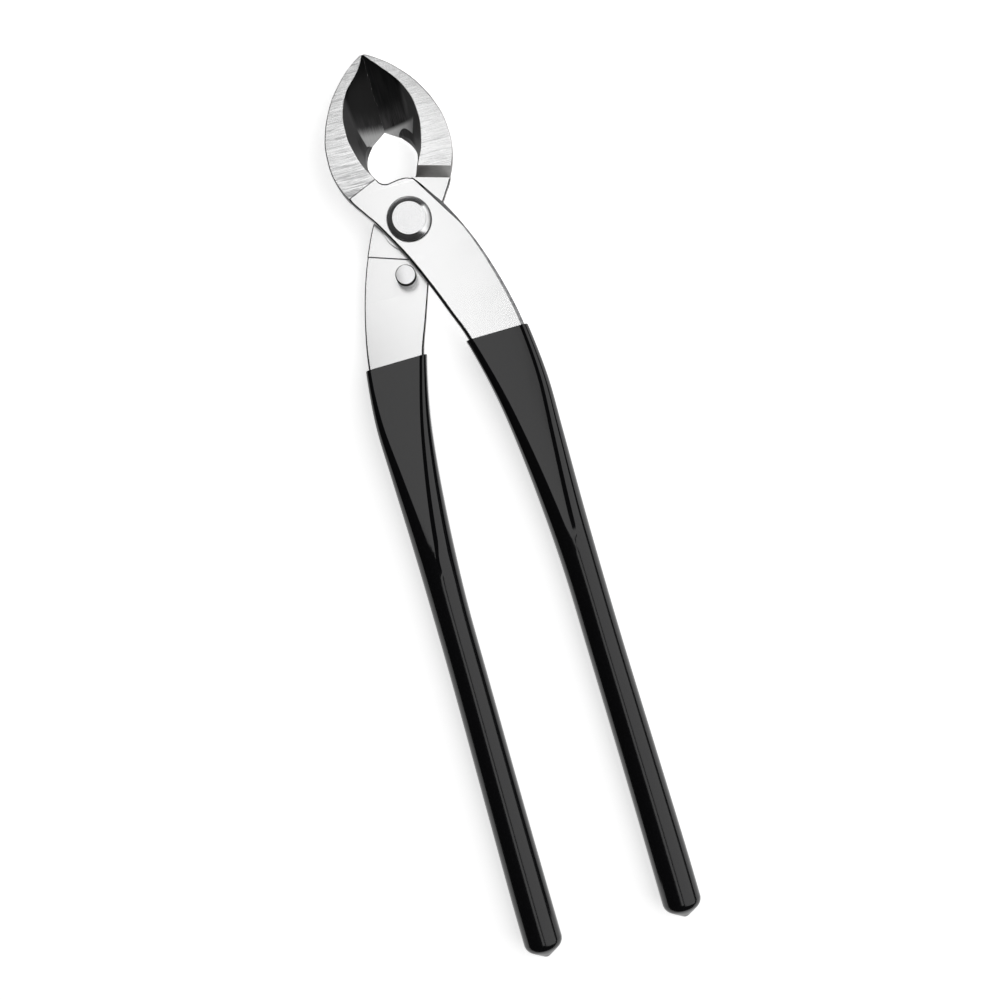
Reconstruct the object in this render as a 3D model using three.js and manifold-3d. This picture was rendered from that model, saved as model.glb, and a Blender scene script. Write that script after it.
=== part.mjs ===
// Bonsai branch cutter, closed, lying on its back.
// The two halves cross at a rivet. Each is a hollow jaw, a flat lap at the rivet and a tang that runs
// from the flat lap into a round rod, dipped in vinyl.
// Millimetres. The origin is on the rivet's axis at the flat end of its tail, +Y points to the jaws'
// tip, +X to the right seen from the front, and +Z out of the front.
import * as THREE from 'three';
import { mergeVertices } from 'three/addons/utils/BufferGeometryUtils.js';
import Module from 'manifold-3d';

const wasm = await Module();
wasm.setup();

// Reach and width of the whole tool
const jawReach = 54.1;
const neckReach = 12.4;
const handleReach = 226.3;
const gripMouth = 39.9;
const headWidth = 37.9;
const hollowWidth = 22.4;
const holeWidth = 15.7;
const handleSpacing = 43.9;

// Thickness of one half, from the face of its lap boss to its outer face
const leverThickness = 4.75;
const bossRadius = 8.9;
const bossHeight = 0.4;
const reliefDepth = 0.85;
const rootStep = 0.4;
const edgeThickness = 0.6;
const jawTipHeight = 3;
const jawEdgeRound = 0.5;
const backBulge = 0.7;

// Lever and tang
const leverWidth = 21.2;
const rodDiameter = 9;
// How much wider than thick the rod is at its end
const rodEndSwell = 0.95;
const leverEdgeRound = 0.9;
const lapEdgeRound = 0.2;
const tangEndRound = 3.2;

// Dipped grips
const coatWall = 0.9;
const coatLip = 0.25;
const dripLength = 1.3;
const dripTipRadius = 0.3;

// Rivet
const shankRadius = 4;
const headRadius = 6.8;
const headFlatRadius = 4.95;
const headHeight = 2.2;
const headRim = 0.4;
const tailRadius = 6;
const tailHeight = 0.95;
const tailChamfer = 0.45;

// Stop pin
const stopRadius = 3.1;
const stopChamfer = 0.3;
const stopTenonRadius = 2;
const stopReach = 15.8;
const stopProud = 0.6;

// Clearances, and how far a cutting shape runs past what it cuts
const lapGap = 0.1;
const axialGap = 0.05;
const boreGap = 0.1;
const pressGap = 0.05;
const coatGap = 0.08;
const edgeGap = 0.1;
const stopGap = 0.8;
const overrun = 1;

// Heights, worked out from the back to the front
const rearFace = tailHeight + axialGap;
const midPlane = rearFace + leverThickness + lapGap / 2;
const frontFace = 2 * midPlane - rearFace;
const bossFace = midPlane + lapGap / 2;
const lapFace = bossFace + bossHeight;
const reliefFace = lapFace + reliefDepth;
const jawFront = frontFace - rootStep;
const jawBack = rearFace + rootStep;
const headTop = frontFace + axialGap + headHeight;

const rodRadius = rodDiameter / 2;
const headHalf = headWidth / 2;
const hollowHalf = hollowWidth / 2;
const holeHalf = holeWidth / 2;
const jawLength = jawReach - neckReach;
const coatThickness = coatGap + coatWall;
const tangEnd = handleReach - dripLength - coatThickness;

// Counts of facets
const roundSides = 36;
const cornerSteps = 4;
const leverSteps = 3;
const jawSteps = 2;
const bevelSteps = 4;
const backSteps = 5;
const endSteps = 3;

// Colours from the photograph
const steelLook = { color: 0xe3e3e4, roughness: 0.32, metalness: 1 };
const rivetLook = { color: 0xd8d9da, roughness: 0.18, metalness: 1 };
const vinylLook = { color: 0x0b0b0c, roughness: 0.12, metalness: 0 };

// Rows of shares that the smooth outlines run through

// The lever above the pivot: place as a share of the neck's reach, middle as a share of half the handle
// spacing, width as a share of the lever's width.
const leverTopShares = [
  [1.27, -0.31, 0.76],
  [1.07, -0.269, 0.86],
  [0.84, -0.229, 1.008],
  [0.44, -0.094, 1.007],
  [0.04, 0.05, 0.995],
];
// Below the pivot: place as a share of the stretch from the pivot to the grip's mouth, middle as above,
// width as a share of what the lever is wider than the rod.
const leverBareShares = [
  [0.24, 0.284, 0.965],
  [0.48, 0.455, 0.93],
  [0.74, 0.603, 0.838],
  [1, 0.726, 0.685],
];
// Inside the grip: place as a share of the stretch from its mouth to the rod's end.
const leverGripShares = [
  [0.09, 0.846, 0.504],
  [0.18, 0.898, 0.308],
  [0.29, 0.934, 0.14],
  [0.41, 0.959, 0.035],
  [0.55, 0.968, 0.022],
  [0.75, 0.988, 0.045],
  [0.9, 0.999, 0.073],
];
// The flat lever turns into the round rod between these shares of the handle's reach.
const innerRampShares = { start: 0.093, end: 0.283 };
const outerRampShares = { start: 0.133, end: 0.495 };
const fullRoundShare = 0.97;
const innerRoundShare = 0.15;
const padReachShare = 0.5;
const bevelSwellShare = 0.6;

// The drip: how far out of its length, and how wide.
const dripShares = [
  [0.3, 0.86],
  [0.6, 0.62],
  [0.88, 0.25],
  [1, 0],
];

// The jaw: place as a share of its length from the neck, then its outline and the hollow's rim as shares
// of their half widths, the hollow's crease as a share of the rim, and the crease's height as a share of
// the wall.
const jawShares = [
  [-0.058, 0.82, 0.446, 0.92, 0.85],
  [0.005, 0.892, 0.5, 0.93, 0.75],
  [0.094, 0.961, 0.665, 0.905, 0.6],
  [0.196, 1, 0.845, 0.8, 0.41],
  [0.353, 0.986, 0.984, 0.716, 0.41],
  [0.46, 0.93, 1, 0.75, 0.44],
  [0.571, 0.84, 0.956, 0.826, 0.58],
  [0.717, 0.667, 0.751, 0.93, 0.8],
  [0.855, 0.425, 0.405, 0.97, 0.9],
  [0.947, 0.209, 0.157, 0.975, 0.9],
  [1, 0.04, 0.024, 0.86, 0.85],
];
const rimFallStartShare = 0.06;
const backBulgeShare = 0.38;
const wallFootShare = 0.36;
const bevelCurve = 1.3;
const backCurve = 2.6;
const rimFallCurve = 2;
const rimRoundShare = 0.25;

// The hole between the jaws: half width share, place as a share of the jaw's length from the neck.
const holeSideShares = [
  [0, 0.417],
  [0.586, 0.343],
  [0.854, 0.278],
  [0.987, 0.218],
  [1, 0.165],
  [0.917, 0.091],
  [0.73, 0.022],
];
const neckShares = [
  [-0.62, 0.004],
  [-0.44, -0.006],
  [-0.19, -0.001],
  [0.06, 0.004],
  [0.31, 0.001],
  [0.51, -0.014],
];
const scoopSlopeShare = 0.5;
const scoopStartShare = 0.16;
const scoopFullShare = 0.29;

// Lines across the lever: where each crosses the tool's middle, as a share of the neck's reach, and its
// slope.
const shoulderLine = { placeShare: 1.17, slopeShare: -0.3 };
const rootLine = { placeShare: 1.355, slopeShare: 0.398 };
const padLine = { placeShare: -0.946, slopeShare: 0.354 };
const shoulderLeanShare = 0.54;

// Closed solids from rings, outlines and profiles

// The triangles that close a ring of points that lie at one place along Y or at one height.
function capFaces(ring, first, alongRing) {
  const size = new THREE.Box3().setFromPoints(ring).getSize(new THREE.Vector3());
  const level = size.z < size.y;
  const outline = ring.map((point) => new THREE.Vector2(point.x, level ? point.y : point.z));
  const faces = THREE.ShapeUtils.triangulateShape(outline, []);
  const firstFace = faces[0].map((index) => outline[index]);
  const turn = THREE.ShapeUtils.area(outline) * THREE.ShapeUtils.area(firstFace);
  const kept = turn > 0 === alongRing;
  return faces.map((face) => (kept ? face : face.toReversed()).map((index) => first + index));
}

// A skin over rings that have the same number of points, closed at both ends.
function loft(rings) {
  const count = rings[0].length;
  const last = (rings.length - 1) * count;
  const faces = [...capFaces(rings[0], 0, false), ...capFaces(rings.at(-1), last, true)];
  for (let ring = 0; ring < rings.length - 1; ring += 1) {
    for (let side = 0; side < count; side += 1) {
      const here = ring * count + side;
      const next = ring * count + ((side + 1) % count);
      faces.push([here, next, next + count], [here, next + count, here + count]);
    }
  }
  const geometry = new THREE.BufferGeometry();
  const coordinates = rings.flat().flatMap((point) => point.toArray());
  geometry.setAttribute('position', new THREE.Float32BufferAttribute(coordinates, 3));
  geometry.setIndex(faces.flat());
  return geometry;
}

// An upright prism over an outline seen from the front.
function prism(outline, low, high) {
  const shape = new THREE.Shape(outline.map(([x, y]) => new THREE.Vector2(x, y)));
  const geometry = new THREE.ExtrudeGeometry(shape, { depth: high - low, bevelEnabled: false });
  return geometry.translate(0, 0, low);
}

// A turned piece about an upright axis: the profile is radius and height, from the axis to the axis.
function turned(profile, x = 0, y = 0) {
  const points = profile.map(([radius, height]) => new THREE.Vector2(radius, height));
  const geometry = new THREE.LatheGeometry(points, roundSides);
  return geometry.rotateX(Math.PI / 2).translate(x, y, 0);
}

function rod(radius, low, high, x = 0, y = 0) {
  return turned([[0, low], [radius, low], [radius, high], [0, high]], x, y);
}

// The signed volume of a closed mesh: below zero when its faces point inwards.
function signedVolume(position, faces) {
  const [a, b, c] = [new THREE.Vector3(), new THREE.Vector3(), new THREE.Vector3()];
  let volume = 0;
  for (const face of faces) {
    a.fromBufferAttribute(position, face[0]);
    b.fromBufferAttribute(position, face[1]);
    c.fromBufferAttribute(position, face[2]);
    volume += a.dot(b.cross(c));
  }
  return volume;
}

function solidOf(geometry, matrix = new THREE.Matrix4()) {
  const plain = new THREE.BufferGeometry();
  plain.setAttribute('position', geometry.attributes.position.clone());
  plain.setIndex(geometry.index);
  const merged = mergeVertices(plain.applyMatrix4(matrix));
  const index = merged.index.array;
  const faces = [];
  for (let corner = 0; corner < index.length; corner += 3) {
    const face = [index[corner], index[corner + 1], index[corner + 2]];
    if (new Set(face).size === 3) {
      faces.push(face);
    }
  }
  if (signedVolume(merged.attributes.position, faces) < 0) {
    faces.forEach((face) => face.reverse());
  }
  return new wasm.Manifold(new wasm.Mesh({
    numProp: 3,
    vertProperties: merged.attributes.position.array,
    triVerts: Uint32Array.from(faces.flat()),
  }));
}

function meshOf(name, solid, look) {
  const { vertProperties, triVerts } = solid.getMesh();
  const geometry = new THREE.BufferGeometry();
  geometry.setAttribute('position', new THREE.BufferAttribute(vertProperties, 3));
  geometry.setIndex(new THREE.BufferAttribute(triVerts, 1));
  geometry.computeVertexNormals();
  const mesh = new THREE.Mesh(geometry, new THREE.MeshStandardMaterial(look));
  mesh.name = name;
  return mesh;
}

// Rows with extra rows between them, each column on its own smooth curve.
function smoothRows(rows, steps) {
  const columns = rows[0].map((first, column) => (
    new THREE.SplineCurve(rows.map((row) => new THREE.Vector2(row[column], 0)))));
  const count = (rows.length - 1) * steps;
  const rowAt = (share) => columns.map((curve) => curve.getPoint(share).x);
  return Array.from({ length: count + 1 }, (_, step) => rowAt(step / count));
}

// How far a place lies between two others, eased at both ends.
const easedBetween = (place, start, end) => THREE.MathUtils.smoothstep(place, start, end);
const blend = (from, to, share) => THREE.MathUtils.lerp(from, to, share);

// The lever of the front half, from the neck down to the rod's end

function leverRows() {
  const half = handleSpacing / 2;
  const extra = leverWidth - rodDiameter;
  const gripStretch = tangEnd - gripMouth;
  return [
    ...leverTopShares.map(([place, middle, width]) => [
      place * neckReach, middle * half, width * leverWidth]),
    ...leverBareShares.map(([place, middle, width]) => [
      -place * gripMouth, middle * half, rodDiameter + width * extra]),
    ...leverGripShares.map(([place, middle, width]) => [
      -gripMouth - place * gripStretch, middle * half, rodDiameter + width * extra]),
    [tangEndRound - tangEnd, half, rodDiameter + rodEndSwell],
  ];
}

// Each station of the lever: its place along Y, its middle and half width, the heights of its two faces
// and the rounding of their edges.
function leverStation([place, middle, width]) {
  const along = -place / handleReach;
  const inner = easedBetween(along, innerRampShares.start, innerRampShares.end);
  const outer = easedBetween(along, outerRampShares.start, outerRampShares.end);
  return {
    place,
    middle,
    halfWidth: width / 2,
    low: blend(reliefFace, midPlane - rodRadius, inner),
    high: blend(frontFace, midPlane + rodRadius, outer),
    lowRound: blend(lapEdgeRound, rodRadius, Math.max(outer, inner * innerRoundShare)),
    highRound: blend(leverEdgeRound, rodRadius, outer),
  };
}

// The tang's rounded end: stations that draw in while they run out to the end.
function endStations(station) {
  return Array.from({ length: endSteps }, (_, step) => {
    const angle = ((step + 1) / endSteps) * (Math.PI / 2);
    return {
      ...station,
      place: station.place - tangEndRound * Math.sin(angle),
      drawnIn: tangEndRound * (1 - Math.cos(angle)),
      reach: Math.sin(angle),
    };
  });
}

// A rounded rectangle across the lever. The spread grows it on every side, as a skin round it.
function leverRing(station, spread = 0) {
  const grow = spread - (station.drawnIn ?? 0);
  const halfWidth = station.halfWidth + grow;
  const halfHeight = (station.high - station.low) / 2 + grow;
  const centreHeight = (station.high + station.low) / 2;
  const place = station.place - spread * (station.reach ?? 0);
  const widest = fullRoundShare * Math.min(halfWidth, halfHeight);
  const highRound = Math.min(station.highRound + grow, widest);
  const lowRound = Math.min(station.lowRound + grow, widest);
  const corners = [[1, 1, highRound], [-1, 1, highRound], [-1, -1, lowRound], [1, -1, lowRound]];
  return corners.flatMap(([right, up, round], corner) => (
    Array.from({ length: cornerSteps + 1 }, (_, step) => {
      const angle = (corner + step / cornerSteps) * (Math.PI / 2);
      const x = station.middle + right * (halfWidth - round) + round * Math.cos(angle);
      const z = centreHeight + up * (halfHeight - round) + round * Math.sin(angle);
      return new THREE.Vector3(x, place, z);
    })));
}

const barStations = smoothRows(leverRows(), leverSteps).map(leverStation);
const mouthStation = (leverTopShares.length + leverBareShares.length - 1) * leverSteps;
const tangStations = [...barStations, ...endStations(barStations.at(-1))];

// A wide plate on one side of a slanted line across the tool.
function besideLine({ placeShare, slopeShare }, towards, low, high) {
  const across = headWidth;
  const place = placeShare * neckReach;
  const far = towards * handleReach;
  const outline = [
    [-across, place - slopeShare * across],
    [across, place + slopeShare * across],
    [across, far],
    [-across, far],
  ];
  return prism(outline, low, high);
}

function leverSolid(matrix) {
  const bar = solidOf(loft(tangStations.map((station) => leverRing(station))), matrix);
  const padStations = barStations.filter((station) => station.place > -padReachShare * gripMouth);
  const padRings = padStations.map((station) => (
    leverRing({ ...station, low: lapFace, lowRound: lapEdgeRound })));
  const belowPad = solidOf(besideLine(padLine, -1, 0, frontFace + overrun), matrix);
  const pad = solidOf(loft(padRings), matrix).subtract(belowPad);
  const boss = solidOf(rod(bossRadius, bossFace, lapFace + bossHeight), matrix);
  const aboveRoot = solidOf(besideLine(rootLine, 1, 0, frontFace + overrun), matrix);
  return bar.add(pad).subtract(aboveRoot).add(boss);
}

// The hollow jaw, drawn on the right

function jawSection([share, outerShare, rimShare, creaseShare, creaseHeightShare]) {
  const fall = Math.max(0, (share - rimFallStartShare) / (1 - rimFallStartShare)) ** rimFallCurve;
  const rimHeight = blend(jawFront, jawTipHeight, fall);
  const deepest = jawBack - backBulge;
  const rise = Math.max(0, (share - backBulgeShare) / (1 - backBulgeShare)) ** rimFallCurve;
  const dip = easedBetween(share, 0, backBulgeShare);
  const edgeHeight = blend(jawBack, deepest, dip) + rise * (jawTipHeight - edgeThickness - deepest);
  return {
    place: neckReach + share * jawLength,
    outer: outerShare * headHalf,
    rim: rimShare * hollowHalf,
    crease: creaseShare * rimShare * hollowHalf,
    rimHeight,
    edgeHeight,
    creaseHeight: blend(edgeHeight, rimHeight, creaseHeightShare),
    wallFoot: blend(edgeHeight, rimHeight, wallFootShare),
  };
}

function jawRing({ place, outer, rim, crease, rimHeight, edgeHeight, creaseHeight, wallFoot }) {
  const edge = edgeGap / 2;
  const round = Math.min(jawEdgeRound, rimRoundShare * (outer - rim));
  const bevel = Array.from({ length: bevelSteps + 1 }, (_, step) => {
    const share = step / bevelSteps;
    return [blend(edge, crease, share), blend(edgeHeight, creaseHeight, share ** bevelCurve)];
  });
  const back = Array.from({ length: backSteps }, (_, step) => {
    const share = 1 - step / backSteps;
    return [blend(edge, outer, share), blend(edgeHeight, wallFoot, share ** backCurve)];
  });
  const wall = [[rim, rimHeight], [outer - round, rimHeight], [outer, rimHeight - round]];
  const section = [...bevel, ...wall, ...back];
  return section.map(([x, z]) => new THREE.Vector3(x, place, z));
}

// The space that the other half's lap turns in, up to a leaning shoulder.
function shoulderSpace(lapHeight, farHeight) {
  const place = shoulderLine.placeShare * neckReach;
  const lean = shoulderLeanShare * Math.abs(farHeight - lapHeight);
  const ring = (height, shift) => [
    new THREE.Vector3(-headWidth, place + shift - shoulderLine.slopeShare * headWidth, height),
    new THREE.Vector3(headWidth, place + shift + shoulderLine.slopeShare * headWidth, height),
    new THREE.Vector3(headWidth, -handleReach, height),
    new THREE.Vector3(-headWidth, -handleReach, height),
  ];
  return loft([ring(lapHeight, 0), ring(farHeight, lean)]);
}

const jawRings = smoothRows(jawShares, jawSteps).map(jawSection).map(jawRing);

function jawSolid(matrix, lapHeight, farHeight) {
  const jaw = solidOf(loft(jawRings), matrix);
  return jaw.subtract(solidOf(shoulderSpace(lapHeight, farHeight), matrix));
}

// The hole between the jaws, seen in the front half's own place. Its upper end leans away behind the
// cutting edges.
function holeSpace() {
  const place = (share) => neckReach + share * jawLength;
  const side = holeSideShares.map(([half, along]) => [half * holeHalf, place(along)]);
  const neck = neckShares.map(([half, along]) => [half * holeHalf, place(along)]);
  const left = side.slice(1).map(([x, y]) => [-x, y]);
  const outline = [...left, ...neck, ...side.toReversed()];
  const ring = (height, shift) => outline.map(([x, y]) => {
    const share = easedBetween(y, place(scoopStartShare), place(scoopFullShare));
    return new THREE.Vector3(x, y + shift * share, height);
  });
  const scoop = scoopSlopeShare * (midPlane - rearFace);
  return loft([
    ring(-overrun, 0),
    ring(rearFace, 0),
    ring(midPlane, scoop),
    ring(frontFace + overrun, scoop),
  ]);
}

// The stop pin stands on the back half, against the front half's inner edge.
function stopPlace() {
  const edges = barStations.map(({ place, middle, halfWidth }) => [place, middle - halfWidth]);
  const next = edges.findIndex(([place]) => place < -stopReach);
  const [[upper, upperEdge], [lower, lowerEdge]] = [edges[next - 1], edges[next]];
  const slope = (upperEdge - lowerEdge) / (upper - lower);
  const edge = lowerEdge + slope * (-stopReach - lower);
  return { x: edge - (stopRadius + stopGap) * Math.hypot(1, slope), y: -stopReach };
}

const asDrawn = new THREE.Matrix4();
const mirrored = new THREE.Matrix4().makeScale(-1, 1, 1);
const turnedOver = new THREE.Matrix4().makeRotationY(Math.PI).setPosition(0, 0, 2 * midPlane);

function makeFrontHalf() {
  const bore = solidOf(rod(shankRadius + boreGap, -overrun, headTop + overrun));
  return leverSolid(asDrawn)
    .add(jawSolid(mirrored, lapFace, -overrun))
    .subtract(solidOf(holeSpace()))
    .subtract(bore);
}

function makeBackHalf() {
  const { x, y } = stopPlace();
  const bore = solidOf(rod(shankRadius + boreGap, -overrun, headTop + overrun));
  const tenonHole = solidOf(rod(stopTenonRadius + pressGap, -overrun, headTop + overrun, x, y));
  return leverSolid(turnedOver)
    .add(jawSolid(asDrawn, 2 * midPlane - lapFace, frontFace + overrun))
    .subtract(solidOf(holeSpace(), mirrored))
    .subtract(bore)
    .subtract(tenonHole);
}

function makeRivet() {
  const headFoot = frontFace + axialGap;
  const bevelFoot = new THREE.Vector2(headRadius, headFoot + headRim);
  const bevelTop = new THREE.Vector2(headFlatRadius, headTop);
  const swell = new THREE.Vector2(
    blend(headFlatRadius, headRadius, bevelSwellShare),
    blend(headFoot + headRim, headTop, bevelSwellShare));
  const bevel = new THREE.QuadraticBezierCurve(bevelFoot, swell, bevelTop);
  return solidOf(turned([
    [0, 0],
    [tailRadius - tailChamfer, 0],
    [tailRadius, tailChamfer],
    [tailRadius, tailHeight],
    [shankRadius, tailHeight],
    [shankRadius, headFoot],
    [headRadius, headFoot],
    ...bevel.getPoints(endSteps).map((point) => point.toArray()),
    [0, headTop],
  ]));
}

function makeStopPin() {
  const { x, y } = stopPlace();
  const foot = 2 * midPlane - reliefFace + pressGap;
  const top = frontFace + stopProud;
  return solidOf(turned([
    [0, rearFace],
    [stopTenonRadius, rearFace],
    [stopTenonRadius, foot],
    [stopRadius, foot],
    [stopRadius, top - stopChamfer],
    [stopRadius - stopChamfer, top],
    [0, top],
  ], x, y));
}

// A grip: a skin of even thickness over the tang, open at its mouth, with a drip at its closed end.
function makeGrip(matrix) {
  const covered = tangStations.slice(mouthStation);
  const inner = covered.map((station) => leverRing(station, coatGap));
  const outer = covered.map((station) => leverRing(station, coatThickness));
  const mouth = covered[0];
  const lip = leverRing(mouth, coatThickness - coatLip);
  outer[0] = leverRing({ ...mouth, place: mouth.place - coatLip }, coatThickness);
  return solidOf(loft([...inner.toReversed(), lip, ...outer, ...dripRings(covered.at(-1))]), matrix);
}

function dripRings(station) {
  const narrowest = Math.min(station.halfWidth, (station.high - station.low) / 2);
  const flat = narrowest - station.drawnIn + coatThickness;
  return dripShares.map(([along, width]) => leverRing({
    ...station,
    place: station.place - along * dripLength,
    drawnIn: station.drawnIn + (1 - width) * (flat - dripTipRadius),
  }, coatThickness));
}

const cutter = new THREE.Group();
const movingHalf = new THREE.Group();
movingHalf.add(
  meshOf('front_half', makeFrontHalf(), steelLook),
  meshOf('front_grip', makeGrip(asDrawn), vinylLook),
);
cutter.add(
  meshOf('back_half', makeBackHalf(), steelLook),
  meshOf('back_grip', makeGrip(turnedOver), vinylLook),
  meshOf('pivot_rivet', makeRivet(), rivetLook),
  meshOf('stop_pin', makeStopPin(), rivetLook),
  movingHalf,
);

export default cutter;
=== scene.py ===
import math
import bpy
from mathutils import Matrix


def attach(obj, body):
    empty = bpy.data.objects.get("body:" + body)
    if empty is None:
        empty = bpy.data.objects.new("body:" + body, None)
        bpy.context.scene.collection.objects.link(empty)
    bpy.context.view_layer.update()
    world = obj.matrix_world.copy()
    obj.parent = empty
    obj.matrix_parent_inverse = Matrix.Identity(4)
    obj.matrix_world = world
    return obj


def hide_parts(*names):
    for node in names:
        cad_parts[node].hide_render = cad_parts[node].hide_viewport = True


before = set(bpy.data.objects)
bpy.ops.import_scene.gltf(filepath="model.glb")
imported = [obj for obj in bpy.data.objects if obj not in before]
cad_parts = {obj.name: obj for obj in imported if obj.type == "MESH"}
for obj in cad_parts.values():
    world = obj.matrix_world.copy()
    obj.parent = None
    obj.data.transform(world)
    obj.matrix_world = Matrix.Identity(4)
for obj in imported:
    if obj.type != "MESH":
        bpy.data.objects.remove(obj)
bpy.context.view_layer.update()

from types import SimpleNamespace

import bmesh
import bpy
from bpy.props import FloatProperty, FloatVectorProperty, IntProperty, PointerProperty
from mathutils import Matrix

bl_info = {
    "name": "Bonsai branch cutter",
    "version": (1, 0, 0),
    "blender": (4, 5, 0),
    "location": "3D View > Sidebar > Cutter",
    "description": "Builds a concave branch cutter with dipped grips round its packed CAD part",
    "category": "Object",
}

MM = 0.001
AS_DRAWN = Matrix.Identity(4)
MIRRORED = Matrix.Scale(-1, 4, (1, 0, 0))
SAME_POINT = 1e-5
WELD = 2e-6
LARGE_FLAT = 2e-5
RULED = "ruled"


# Sizes and colours that a user would change

def length(title, default, text):
    return FloatProperty(name=title, description=text, default=default,
                         unit="LENGTH", subtype="DISTANCE", precision=5)


def level(title, default, text):
    return FloatProperty(name=title, description=text, default=default)


def colour(title, default, text):
    return FloatVectorProperty(name=title, description=text, default=default,
                               subtype="COLOR", size=3, min=0, max=1)


class CutterSteelSizes(bpy.types.PropertyGroup):
    """Sizes of the two forged halves, the rivet and the stop pin."""
    jaw_reach: length("Jaw reach", 0.0541, "From the rivet's axis to the jaws' tip")
    neck_reach: length("Neck reach", 0.0124, "From the rivet's axis to the hole's lower edge")
    handle_reach: length("Handle reach", 0.2263, "From the rivet's axis to the grips' drips")
    grip_mouth: length("Grip mouth", 0.0399, "From the rivet's axis to the vinyl's edge")
    head_width: length("Head width", 0.0379, "Across both jaws")
    hollow_width: length("Hollow width", 0.0224, "Across the hollow between the rims")
    hole_width: length("Hole width", 0.0157, "Across the hole between the jaws")
    handle_spacing: length("Handle spacing", 0.0439, "Between the rods' middles")
    lever_thickness: length("Lap thickness", 0.00475, "From the boss to the outer face")
    boss_radius: length("Boss radius", 0.0089, "Of the raised disc round the rivet")
    boss_height: length("Boss height", 0.0004, "Of the raised disc over the lap")
    relief_depth: length("Relief", 0.00085, "Of the lever's inner face below the lap")
    root_step: length("Root step", 0.0004, "Of the jaw below the lap's outer face")
    edge_thickness: length("Edge thickness", 0.0006, "Of the jaws at their tip")
    jaw_tip_height: length("Tip height", 0.003, "Of the rims at the jaws' tip")
    back_bulge: length("Back bulge", 0.0007, "Of the jaws' backs behind the laps")
    lever_width: length("Lever width", 0.0212, "Of the lever beside the rivet")
    rod_diameter: length("Rod diameter", 0.009, "Of the steel inside the grips")
    rod_end_swell: length("Rod end swell", 0.00095, "How much wider than thick the rod is at its end")
    lever_edge: length("Edge rounding", 0.0009, "Of the lever's outer edges")
    jaw_edge: length("Jaw edge rounding", 0.0004, "Of the jaws' outer edges")
    filed: length("Filed edge", 0.00095, "Flat filed on the lever's edge beside the neck")
    neck_bevel: length("Neck bevel", 0.00045, "Along the hole's lower edge")
    lap_edge: length("Lap edge rounding", 0.0004, "Of the lever's inner edges")
    tang_end: length("Tang end rounding", 0.0032, "Of the rod's end")
    shank_radius: length("Shank radius", 0.004, "Of the rivet between its ends")
    head_radius: length("Rivet head radius", 0.0068, "Of the rivet's head")
    head_flat: length("Rivet flat radius", 0.00495, "Of the flat on the rivet's head")
    head_height: length("Rivet head height", 0.0022, "Over the front face")
    head_rim: length("Rivet rim", 0.00085, "Upright rim below the head's bevel")
    tail_radius: length("Rivet tail radius", 0.006, "Of the tail on the back")
    tail_height: length("Rivet tail height", 0.00095, "Of the tail on the back")
    tail_chamfer: length("Rivet tail chamfer", 0.00045, "Round the tail")
    pin_radius: length("Pin radius", 0.0031, "Of the stop pin")
    pin_chamfer: length("Pin chamfer", 0.0003, "Round the stop pin's top")
    pin_tenon: length("Pin tenon radius", 0.002, "Of the stop pin inside the lever")
    pin_reach: length("Pin reach", 0.0158, "From the rivet's axis along the tool")
    pin_proud: length("Pin height", 0.0006, "Of the stop pin over the front face")


class CutterGripSizes(bpy.types.PropertyGroup):
    """Sizes of the dipped grips."""
    wall: length("Wall", 0.00089, "Thickness of the vinyl")
    lip: length("Lip", 0.00025, "Rounding of the vinyl's edge at its mouth")
    drip_length: length("Drip length", 0.0013, "Of the cone at the rod's end")
    fit: length("Fit", 0.00008, "Between the vinyl and the steel")
    step_height: length("Step height", 0.00028, "Of the vinyl's ridge beside its flat facet")
    step_width: length("Step width", 0.0006, "Of the slope from the flat facet up to the ridge")
    corner_steps: IntProperty(name="Corner steps", description="Facets in each rounded corner",
                              default=10, min=2, max=24)


class CutterFinish(bpy.types.PropertyGroup):
    """Colours and roughness of the finishes."""
    face: colour("Lever faces", (0.95, 0.95, 0.95), "Satin ground faces")
    rim: colour("Jaw rims", (0.95, 0.95, 0.95), "Cross ground rims")
    rim_line: colour("Grinding lines", (0.52, 0.52, 0.525), "Darkest lines across the rims")
    side: colour("Sides", (0.43, 0.425, 0.42), "Forged sides and slopes")
    # Painted shade: the levers' rounded edges are painted darker than the faces.
    edge: colour("Edges", (0.3, 0.3, 0.305), "Rounded edges of the levers")
    hollow: colour("Hollow", (0.013, 0.0128, 0.013), "Dark ground hollow")
    # Painted light: the hollow's steep wall is painted lighter than the hollow.
    wall: colour("Hollow wall", (0.062, 0.0615, 0.062), "Steep wall of the hollow under the rims")
    # Painted light in part: the left and right heel facets differ in brightness.
    heel: colour("Left heel facet", (0.38, 0.38, 0.38), "Bright facet left of the notch")
    heel_right: colour("Right heel facet", (0.95, 0.95, 0.95), "Facet right of the notch")
    rivet: colour("Rivet", (0.93, 0.93, 0.935), "Rivet and stop pin")
    vinyl: colour("Vinyl", (0.0025, 0.0025, 0.003), "Dipped grips")
    floor: colour("Floor", (0.9, 0.9, 0.9), "Studio floor")


class CutterStage(bpy.types.PropertyGroup):
    """Camera and light."""
    camera_x: length("Camera to the right", 0.0027427, "Of the rivet's axis")
    camera_y: length("Camera along", -0.0887465, "From the rivet's axis")
    camera_height: length("Camera height", 0.42, "Over the floor")
    camera_roll: FloatProperty(name="Camera roll", description="The tool leans by this in the picture",
                               default=math.radians(-16.14), subtype="ANGLE", unit="ROTATION")
    lens: level("Lens", 48.99, "Focal length in millimetres")
    overhead: level("Overhead light", 1.38, "Brightness of the panel overhead")
    side_light: level("Side light", 1.3, "Brightness of the panel on the right")
    surroundings: level("Surroundings", 0.04, "Brightness all round")
    floor_glow: level("Floor glow", 0.66, "Added to the floor where it is seen")


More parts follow.
